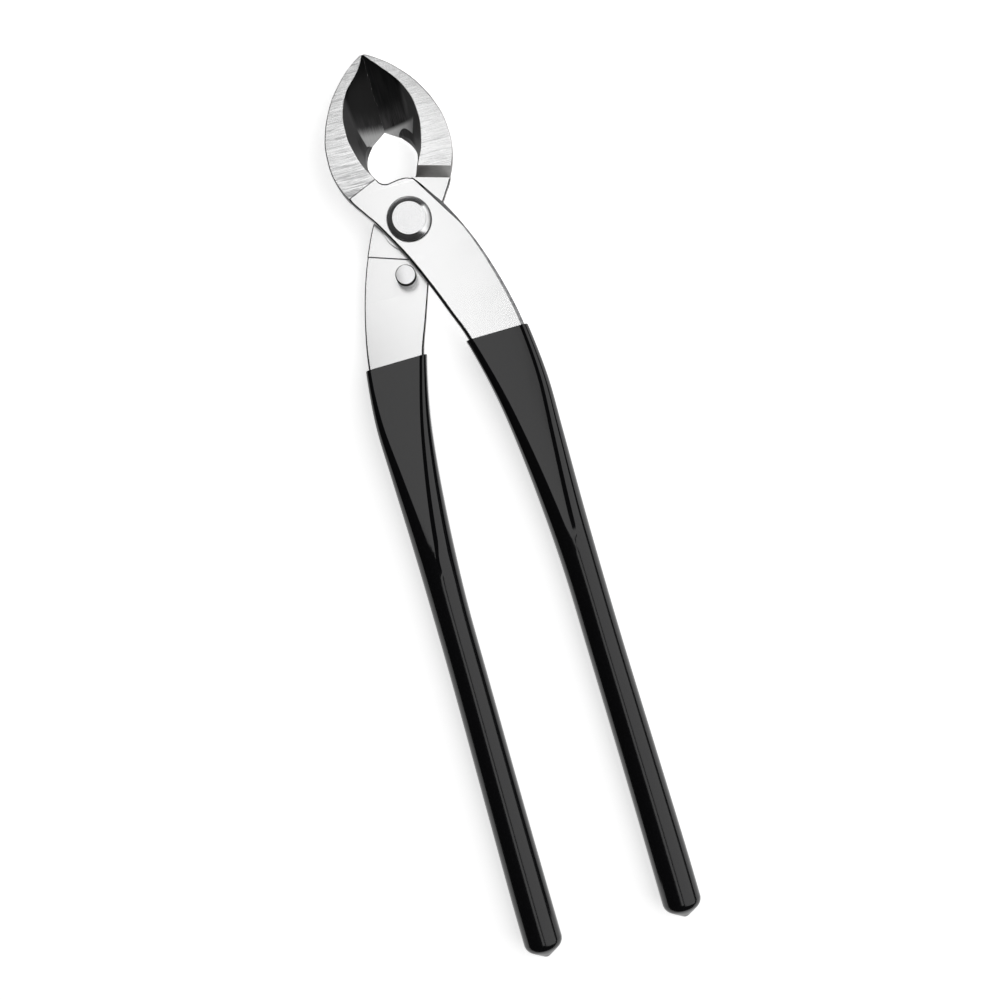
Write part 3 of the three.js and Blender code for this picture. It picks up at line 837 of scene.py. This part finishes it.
def lever_rows(s):
    half = s.handle_spacing / 2
    extra = s.lever_width - s.rod_diameter
    stretch = s.tang_reach - s.grip_mouth
    return (
        [(place * s.neck_reach, middle * half, width * s.lever_width) for place, middle, width in LEVER_TOP]
        + [(-place * s.grip_mouth, middle * half, s.rod_diameter + width * extra)
           for place, middle, width in LEVER_BARE]
        + [(-s.grip_mouth - place * stretch, middle * half, s.rod_diameter + width * extra)
           for place, middle, width in LEVER_GRIP]
        + [(s.tang_end - s.tang_reach, half, s.rod_diameter + s.rod_end_swell)])


def lever_station(s, row):
    place, middle, width = row
    along = -place / s.handle_reach
    inner, outer = eased(along, INNER_RAMP), eased(along, OUTER_RAMP)
    low = mix(s.relief_face, s.middle - s.rod, inner)
    high = mix(s.front, s.middle + s.rod, outer)
    return {
        "place": place,
        "middle": middle,
        "half_width": width / 2,
        "half_height": (high - low) / 2,
        "centre": (high + low) / 2,
        "round_low": mix(s.lap_edge, s.rod, max(outer, inner * INNER_ROUND)),
        "round_high": mix(s.lever_edge * mix(*EDGE_GROWTH, eased(along, EDGE_GROWS)), s.rod,
                          eased(along, ROUND_RAMP)),
        "coated": 0,
    }


def changed(station, back, size, **others):
    """The station moved down the tool, with each of its sizes worked out from the old one."""
    sizes = {part: max(size(station[part]), THINNEST) for part in STATION_SIZES}
    return {**station, **sizes, **others, "place": station["place"] - back}


def drawn_in(station, by, back):
    """A station that is smaller all round and further down the tool."""
    return changed(station, back, lambda size: size - by)


def bar_stations(s):
    return [lever_station(s, row) for row in smooth_rows(lever_rows(s), LEVER_STEPS)]


def end_stations(s, station):
    """The rod's rounded end."""
    made = []
    for step in range(1, END_STEPS + 1):
        angle = step / END_STEPS * math.pi / 2
        made.append(drawn_in(station, s.tang_end * (1 - math.cos(angle)), s.tang_end * math.sin(angle)))
    return made


def beside_line(s, line, towards, high, turn, lean=0):
    """What lies on one side of a line across the lever; its wall leans by so much per millimetre up."""
    place, far, wide = line[0] * s.neck_reach, towards * s.handle_reach, s.head_width
    rings = []
    for z in (0, high):
        back = lean * (z - s.lap_face)
        rings.append([(-wide, place - line[1] * wide - back, z), (wide, place + line[1] * wide - back, z),
                      (wide, far, z), (-wide, far, z)])
    return skin("beside", rings, turn)


def filed_space(s, turn):
    """What a file takes off the lever's outer edge beside the neck: a sloping flat."""
    middle, outward = FILED_AT, FILED_OUTWARD
    reach = s.head_width
    corners = [(-s.filed - s.overrun, s.front + s.overrun * FILED_SLOPE),
               (reach, s.front - (s.filed + reach) * FILED_SLOPE), (reach, s.front + s.overrun)]
    rings = []
    for along in (-reach, reach):
        rings.append([(middle[0] + outward[0] * out - outward[1] * along,
                       middle[1] + outward[1] * out + outward[0] * along, z) for out, z in corners])
    return skin("filed", rings, turn)


def lever_parts(s, turn):
    """The lever's bar, and what is cut from it and set on it."""
    stations = bar_stations(s)
    bar = swept_bar(stations + end_stations(s, stations[-1]), turn)
    padded = []
    for station in stations:
        if station["place"] > -PAD_REACH * s.grip_mouth:
            top = station["centre"] + station["half_height"]
            padded.append({**station, "half_height": (top - s.lap_face) / 2,
                           "centre": (top + s.lap_face) / 2, "round_low": s.lap_edge})
    over_front = s.front + s.overrun
    pad = shaped(swept_bar(padded, turn),
                 [("DIFFERENCE", beside_line(s, PAD_LINE, -1, over_front, turn, PAD_LEAN))])
    root = beside_line(s, ROOT_LINE, 1, over_front, turn)
    boss = disc(s.boss_radius, s.boss_face, s.lap_face + s.boss_height, turn=turn)
    filed = filed_space(s, turn)
    return bar, [("UNION", pad), ("DIFFERENCE", root), ("UNION", boss), ("DIFFERENCE", filed)]


# The hollow jaw, drawn on the right

def jaw_rows(s, side):
    """Rows along the jaw; the left jaw's hollow, side -1, is the narrower near the tip."""
    rows = []
    for along, outer, rim, crease, crease_height in smooth_rows(JAW, JAW_STEPS):
        fall = max(0, (along - RIM_FALL_START) / (1 - RIM_FALL_START)) ** 2
        rim_height = mix(s.jaw_front, s.jaw_tip_height, fall)
        deepest = s.jaw_back - s.back_bulge
        if side < 0:
            rim *= 1 - TIP_NARROWING * eased(along, TIP_NARROWS)
        rise = max(0, (along - BACK_BULGE) / (1 - BACK_BULGE)) ** 2
        edge = mix(s.jaw_back, deepest, eased(along, (0, BACK_BULGE)))
        edge += rise * (s.jaw_tip_height - s.edge_thickness - deepest)
        rows.append(SimpleNamespace(
            place=s.neck_reach + along * s.jaw_length,
            outer=outer * s.head_half,
            rim=rim * s.hollow_half,
            crease=crease * rim * s.hollow_half,
            rim_height=rim_height,
            edge=edge,
            crease_height=mix(edge, rim_height, crease_height),
            wall_foot=mix(edge, rim_height, WALL_FOOT)))
    return rows


def jaw_ring(s, row):
    """The jaw's outline across: hollow bevel, wall, ground rim and rounded back."""
    gap = s.edge_gap / 2
    corner = min(s.jaw_edge, CORNER_SHARE * (row.outer - row.rim))
    lip = min(RIM_LIP, LIP_SHARE * (row.outer - row.rim))

    def bevel(at):
        return mix(gap, row.crease, at), mix(row.edge, row.crease_height, at ** BEVEL_HOLLOW)

    def wall(at):
        return mix(row.crease, row.rim, at), mix(row.crease_height, row.rim_height, at)

    section = [bevel(CREASE_FROM * step / BEVEL_STEPS) for step in range(BEVEL_STEPS)]
    section += rounded(bevel(CREASE_FROM), bevel(1), wall(WALL_BENDS[0]), CORNER_STEPS)
    section += rounded(wall(WALL_BENDS[1]), (row.rim, row.rim_height), (row.rim + lip, row.rim_height),
                       LIP_BEND_STEPS)
    section += rounded((row.outer - corner, row.rim_height), (row.outer, row.rim_height),
                       (row.outer, row.rim_height - corner), CORNER_STEPS)
    for step in range(BEVEL_STEPS):
        at = 1 - step / BEVEL_STEPS
        section.append((mix(gap, row.outer, at), mix(row.edge, row.wall_foot, at ** BACK_ROUND)))
    return [(x, row.place, z) for x, z in section]


def shoulder_space(s, lap, far, turn):
    """What lies below the shoulder of the jaw, which leans from the lap to the far face."""
    wide, drop = s.head_width, SHOULDER_LINE[1] * s.head_width
    rings = []
    for z, shift in ((lap, 0), (far, SHOULDER_LEAN * abs(far - lap))):
        place = SHOULDER_LINE[0] * s.neck_reach + shift
        rings.append([(-wide, place - drop, z), (wide, place + drop, z),
                      (wide, -s.handle_reach, z), (-wide, -s.handle_reach, z)])
    return skin("shoulder", rings, turn)


def jaw_mesh(s, side, lap, far):
    turn = MIRRORED if side < 0 else AS_DRAWN
    jaw = skin("jaw", [jaw_ring(s, row) for row in jaw_rows(s, side)], turn)
    return shaped(jaw, [("DIFFERENCE", shoulder_space(s, lap, far, turn))])


def hole_space(s, turn):
    """The hole between the jaws; its upper end leans away behind the cutting edges."""
    def at(along):
        return s.neck_reach + along * s.jaw_length

    side = [(half * s.hole_half, at(along)) for half, along in HOLE_SIDE]
    bend = smooth_rows(side[1:], HOLE_STEPS)
    neck = smooth_rows([(half * s.hole_half, at(along)) for half, along in HOLE_NECK], HOLE_STEPS)
    outline = [*[(-x, y) for x, y in bend], *neck, *bend[::-1], side[0]]
    scoop = SCOOP_SLOPE * (s.middle - s.rear)

    def ring(z, shift, wider=0):
        """The outline at a height, its top shifted up and its neck wider."""
        points = []
        for x, y in outline:
            at_neck = wider * (1 - eased(y, (at(NECK_ENDS[0]), at(NECK_ENDS[1]))))
            at_top = shift * eased(y, (at(SCOOP[0]), at(SCOOP[1])))
            points.append((x * (1 + NECK_SPREAD * at_neck), y + at_top - at_neck, z))
        return points

    bevel, over = s.neck_bevel, s.overrun
    rings = [ring(-over, 0, over + s.rear + bevel), ring(s.rear, 0, bevel), ring(s.rear + bevel, 0),
             ring(s.middle, scoop), ring(s.front - bevel, scoop), ring(s.front, scoop, bevel),
             ring(s.front + over, scoop, over + bevel)]
    return skin("hole", rings, turn)


def stop_place(s):
    """Where the stop pin stands: a small gap off the front half's inner edge."""
    edges = [(station["place"], station["middle"] - station["half_width"]) for station in bar_stations(s)]
    below = next(n for n, (place, edge) in enumerate(edges) if place < -s.pin_reach)
    (upper, upper_edge), (lower, lower_edge) = edges[below - 1], edges[below]
    slope = (upper_edge - lower_edge) / (upper - lower)
    edge = lower_edge + slope * (-s.pin_reach - lower)
    return edge - (s.pin_radius + s.stop_gap) * math.hypot(1, slope), -s.pin_reach


def turned_over(s):
    return Matrix.Translation((0, 0, 2 * s.middle)) @ Matrix.Rotation(math.pi, 4, "Y")


LEFT_EDGE, RIGHT_EDGE, TURNED_DOWN = -0.3, 0.08, -0.3
LEVEL, UPRIGHT = 0.95, 0.1
RIM_LEVEL, RIM_LEAN, RIM_DEPTH = 0.6, 0.25, 1.2
JAW_FROM, RIM_FROM, HOLLOW_FROM = -3, -2.5, 1.5
NOTCH_ENDS, NOTCH_BESIDE = (-2, 6), 0.6
ACROSS_LINE, UPRIGHT_WALL, PAD_BELOW = 0.8, 0.4, 4
TOUCHING = 0.02
ZONES = ("face", "rim", "side", "hollow", "edge")


def zone_faces(s, mesh, side):
    """Gives each face of a half the finish of its zone. Side is -1 for the left jaw, 1 for the right."""
    rows = jaw_rows(s, side)

    def row_at(y):
        after = next((n for n, row in enumerate(rows) if row.place > y), len(rows) - 1)
        low, high = rows[max(after - 1, 0)], rows[after]
        t = min(1, max(0, (y - low.place) / max(high.place - low.place, 1e-6)))
        return SimpleNamespace(
            **{key: mix(value, getattr(high, key), t) for key, value in vars(low).items()})

    for face in mesh.polygons:
        x, y, z = face.center
        up, across = face.normal.z, face.normal.x
        row, out, past_neck = row_at(y), abs(x), y - s.neck_reach
        in_jaw = past_neck > JAW_FROM and x * side > 0 and z < s.jaw_front + TOUCHING
        rim_like = up > RIM_LEVEL and abs(across) < RIM_LEAN and z > row.rim_height - RIM_DEPTH
        in_notch = out < s.hole_half + NOTCH_BESIDE and NOTCH_ENDS[0] < past_neck < NOTCH_ENDS[1]
        at_pad_line = -PAD_REACH * s.grip_mouth < y < PAD_LINE[0] * PAD_BELOW
        if in_jaw and up > TURNED_DOWN and past_neck > HOLLOW_FROM and out < row.rim + TOUCHING / 2:
            zone = "hollow"
        elif in_jaw and rim_like and past_neck > RIM_FROM and out > row.rim - TOUCHING:
            zone = "rim"
        # The neck's bevel in the notch and the wall at the pad's line take the dark hollow finish as
        # painted shade lines.
        elif UPRIGHT < abs(up) < LEVEL and in_notch:
            zone = "hollow"
        elif at_pad_line and abs(up) < UPRIGHT_WALL and abs(face.normal.y) > ACROSS_LINE:
            zone = "hollow"
        # Sloping faces off the jaw that face left or right take the darker edge finish as painted shade.
        elif abs(up) > UPRIGHT and not LEFT_EDGE <= across <= RIGHT_EDGE and not in_jaw:
            zone = "edge"
        elif abs(up) > LEVEL:
            zone = "face"
        else:
            zone = "side"
        face.material_index = ZONES.index(zone)


class CutterOperator:
    bl_options = {"REGISTER", "UNDO"}


class CUTTER_OT_halves(CutterOperator, bpy.types.Operator):
    """Builds both forged halves with their jaws, laps and tangs"""
    bl_idname = "cutter.halves"
    bl_label = "Forged halves"

    def execute(self, context):
        s = steel_plan()
        face, side, hollow = satin_face(), forged_side(), dark_hollow()
        crease = (ROOT_LINE[0] * s.neck_reach, ROOT_LINE[1])
        low, high = -s.overrun, s.head_top + s.overrun
        shank_bore = disc(s.shank_radius + s.bore_gap, low, high)
        pin_bore = disc(s.pin_tenon + s.press_gap, low, high, *stop_place(s))
        front = self.half(s, AS_DRAWN, -1, s.lap_face, -s.overrun, [shank_bore])
        finished("front_half_steel", front, "front_lever", "front_half",
                 [face, ground_rim("ground_rim_left", 0.75, 1, crease, crease_shade_depth=0.85), side, hollow,
                  edge_steel("edge_steel_front", left=0.15, right=1, neck_shade_strength=1, filed=s.filed)])
        back = self.half(s, turned_over(s), 1, 2 * s.middle - s.lap_face, s.front + s.overrun,
                         [shank_bore, pin_bore])
        finished("back_half_steel", back, "back_lever", "back_half",
                 [face, ground_rim("ground_rim_right", 0.45, 21, crease, crease_shade_depth=0), side, hollow,
                  edge_steel("edge_steel_back", left=0.25, right=0.12, neck_shade_strength=0, filed=s.filed)])
        return {"FINISHED"}

    @staticmethod
    def half(s, turn, side, lap, far, bores):
        """A forged half with its zones. The jaw's shoulder leans from the lap to the far face."""
        bar, steps = lever_parts(s, turn)
        hole = hole_space(s, AS_DRAWN if side < 0 else MIRRORED)
        cuts = [("DIFFERENCE", cut) for cut in (hole, *bores)]
        made = shaped(bar, [*steps, ("UNION", jaw_mesh(s, side, lap, far)), *cuts])
        zone_faces(s, made, side)
        return made


class CUTTER_OT_grips(CutterOperator, bpy.types.Operator):
    """Builds the two dipped vinyl grips"""
    bl_idname = "cutter.grips"
    bl_label = "Dipped grips"

    def execute(self, context):
        s = steel_plan()
        g = in_millimetres(context.scene.cutter_grips)
        vinyl = dipped_vinyl()
        covered = bar_stations(s)[MOUTH:]
        rod_end = covered[-1]["place"]

        def coated(station, share, reach=0):
            """The station with a share of the coat, which reaches so far on past it."""
            return {**station, "coated": share, "place": station["place"] - share * s.coat * reach}

        inner = []
        for station in reversed([*covered, *end_stations(s, covered[-1])]):
            reach = min(1, max(0, (rod_end - station["place"]) / s.tang_end))
            inner.append(coated(station, g.fit / s.coat, reach))
        lip = []
        for step in range(LIP_STEPS + 1):
            angle = step / LIP_STEPS * math.pi / 2
            by, back = g.lip * (1 - math.sin(angle)), g.lip * (1 - math.cos(angle))
            lip.append(drawn_in(coated(covered[0], 1), by, back))
        outer = [coated(station, 1) for station in covered[1:]]
        tip = s.tang_end + s.coat + g.drip_length
        drip = [changed(outer[-1], along * tip, lambda size: (size + s.coat) * wide, coated=0)
                for along, wide in smooth_rows(GRIP_END, END_STEPS)[1:]]
        for side, turn, word in ((1, AS_DRAWN, "front"), (-1, turned_over(s), "back")):
            mesh = swept_bar([*inner, *lip, *outer, *drip], turn, s.coat, g.corner_steps, vinyl,
                             (g.step_height, g.step_width, float(side)))
            finished(word + "_grip_vinyl", mesh, word + "_lever", word + "_grip",
                     [vinyl], VINYL_SHARP)
        return {"FINISHED"}


class CUTTER_OT_rivet(CutterOperator, bpy.types.Operator):
    """Builds the pivot rivet"""
    bl_idname = "cutter.rivet"
    bl_label = "Pivot rivet"

    def execute(self, context):
        s = steel_plan()
        foot = s.front + s.axial_gap
        rim = foot + s.head_rim
        swollen = (mix(s.head_flat, s.head_radius, RIVET_SWELL), mix(rim, s.head_top, RIVET_SWELL))
        bevel = rounded((s.head_radius, rim), swollen, (s.head_flat, s.head_top), 10)
        profile = [(0, 0), (s.tail_radius - s.tail_chamfer, 0), (s.tail_radius, s.tail_chamfer),
                   (s.tail_radius, s.tail_height), (s.shank_radius, s.tail_height), (s.shank_radius, foot),
                   (s.head_radius - FOOT_CHAMFER, foot), (s.head_radius, foot + FOOT_CHAMFER), *bevel,
                   (0, s.head_top)]
        steel = turned_steel("rivet_steel", 0, 0, s.head_flat, s.head_radius, side_shade=1, shaded=0)
        finished("pivot_rivet_steel", turned(profile), "back_lever", "pivot_rivet",
                 [steel], TURNED_SHARP)
        return {"FINISHED"}


class CUTTER_OT_stop_pin(CutterOperator, bpy.types.Operator):
    """Builds the stop pin on the left lever"""
    bl_idname = "cutter.stop_pin"
    bl_label = "Stop pin"

    def execute(self, context):
        s = steel_plan()
        x, y = stop_place(s)
        foot = 2 * s.middle - s.relief_face + s.press_gap
        top = s.front + s.pin_proud
        flat = s.pin_radius - s.pin_chamfer
        edge = rounded((s.pin_radius, top - s.pin_chamfer), (s.pin_radius, top), (flat, top), 5)
        profile = [(0, s.rear), (s.pin_tenon, s.rear), (s.pin_tenon, foot), (s.pin_radius, foot), *edge,
                   (0, top)]
        steel = turned_steel("pin_steel", x, y, flat, s.pin_radius, side_shade=0.5, shaded=0.85)
        finished("stop_pin_steel", turned(profile, x, y, sides=64), "back_lever", "stop_pin",
                 [steel], TURNED_SHARP)
        return {"FINISHED"}


OVERHEAD_SIZE = (0.23, 4.3)
OVERHEAD_PLACE = (-0.025, 1.25, 1.2)
SIDE_SIZE = (1.18, 1.7)
SIDE_LEAN = 42.2
SIDE_AWAY = 0.92
SIDE_ALONG = -0.1
FLOOR_HALF = 3
FLOOR_DROP = 0.00002


class CUTTER_OT_stage(CutterOperator, bpy.types.Operator):
    """Lays the floor, hangs the lamps and sets the camera"""
    bl_idname = "cutter.stage"
    bl_label = "Stage"

    def execute(self, context):
        stage = context.scene.cutter_stage
        self.floor(stage.floor_glow)
        self.surroundings(context, stage.surroundings)
        self.lamp("overhead_panel", OVERHEAD_SIZE, OVERHEAD_PLACE, 0, stage.overhead)
        lean = math.radians(SIDE_LEAN)
        place = (SIDE_AWAY * math.sin(lean), SIDE_ALONG, SIDE_AWAY * math.cos(lean))
        self.lamp("side_panel", SIDE_SIZE, place, lean, stage.side_light)
        data = bpy.data.cameras.new("camera")
        data.lens = stage.lens
        data.sensor_width = 36
        data.clip_start, data.clip_end = 0.01, 20
        camera = plain_object("camera", data)
        camera.location = (stage.camera_x, stage.camera_y, stage.camera_height)
        camera.rotation_euler = (0, 0, stage.camera_roll)
        context.scene.camera = camera
        context.scene.view_settings.view_transform = "Standard"
        return {"FINISHED"}

    @staticmethod
    def floor(strength):
        signs = ((-1, -1), (1, -1), (1, 1), (-1, 1))
        corners = [(x * FLOOR_HALF, y * FLOOR_HALF, -FLOOR_DROP) for x, y in signs]
        mesh = bpy.data.meshes.new("floor")
        mesh.from_pydata(corners, [], [(0, 1, 2, 3)])
        f = Finish("floor")
        mottle = f.noise((0.02, 0.02, 0.02), detail=3)
        f.done(Base_Color=f.toned(mottle, f.colours.floor, 0.99, 1.01), Roughness=0.9,
               Specular_IOR_Level=0.0)
        rays = f.add("ShaderNodeLightPath")
        seen = (rays.out("Is Camera Ray") + rays.out("Is Glossy Ray")
                + rays.out("Is Transmission Ray")).held()
        glow = f.add("ShaderNodeEmission", None, {"Color": (1, 1, 1), "Strength": strength}).out()
        lifted = f.add("ShaderNodeAddShader", None, [f.shader.out(), glow]).out()
        mixed = f.add("ShaderNodeMixShader", None, [seen, f.shader.out(), lifted]).out()
        f.put(f.nodes.nodes["Material Output"].inputs["Surface"], mixed)
        mesh.materials.append(f.material)
        plain_object("floor", mesh)

    @staticmethod
    def surroundings(context, strength):
        """White where the camera looks past the floor, and dim all round for the object."""
        world = bpy.data.worlds.new("studio")
        world.use_nodes = True
        context.scene.world = world
        t = Tree(world.node_tree)
        background = world.node_tree.nodes["Background"]
        t.put(background.inputs["Color"], (1, 1, 1))
        seen = t.add("ShaderNodeLightPath").out("Is Camera Ray")
        t.put(background.inputs["Strength"], seen * (1 - strength) + strength)

    @staticmethod
    def lamp(name, size, place, lean, brightness):
        """A panel that looks equally bright whatever its size."""
        data = bpy.data.lights.new(name, "AREA")
        data.shape = "RECTANGLE"
        data.size, data.size_y = size
        data.energy = brightness * math.pi * size[0] * size[1]
        panel = plain_object(name, data)
        panel.location = place
        panel.rotation_euler = (0, lean, 0)


class CUTTER_PT_panel(bpy.types.Panel):
    """Lists the cutter's pieces and its stage"""
    bl_label = "Branch cutter"
    bl_space_type = "VIEW_3D"
    bl_region_type = "UI"
    bl_category = "Cutter"

    def draw(self, context):
        for operator in OPERATORS:
            self.layout.operator(operator.bl_idname)
        for group in ("cutter_steel", "cutter_grips", "cutter_finish", "cutter_stage"):
            box = self.layout.box()
            values = getattr(context.scene, group)
            for name in values.__annotations__:
                box.prop(values, name)


GROUPS = {"cutter_steel": CutterSteelSizes, "cutter_grips": CutterGripSizes, "cutter_finish": CutterFinish,
          "cutter_stage": CutterStage}
OPERATORS = (CUTTER_OT_stage, CUTTER_OT_halves, CUTTER_OT_grips, CUTTER_OT_rivet, CUTTER_OT_stop_pin)
CLASSES = (*GROUPS.values(), *OPERATORS, CUTTER_PT_panel)


def register():
    for item in CLASSES:
        bpy.utils.register_class(item)
    for name, group in GROUPS.items():
        setattr(bpy.types.Scene, name, PointerProperty(type=group))


def unregister():
    for name in GROUPS:
        delattr(bpy.types.Scene, name)
    for item in reversed(CLASSES):
        bpy.utils.unregister_class(item)


def main():
    register()
    for step in ("stage", "halves", "grips", "rivet", "stop_pin"):
        getattr(bpy.ops.cutter, step)()


if __name__ == "__main__":
    main()
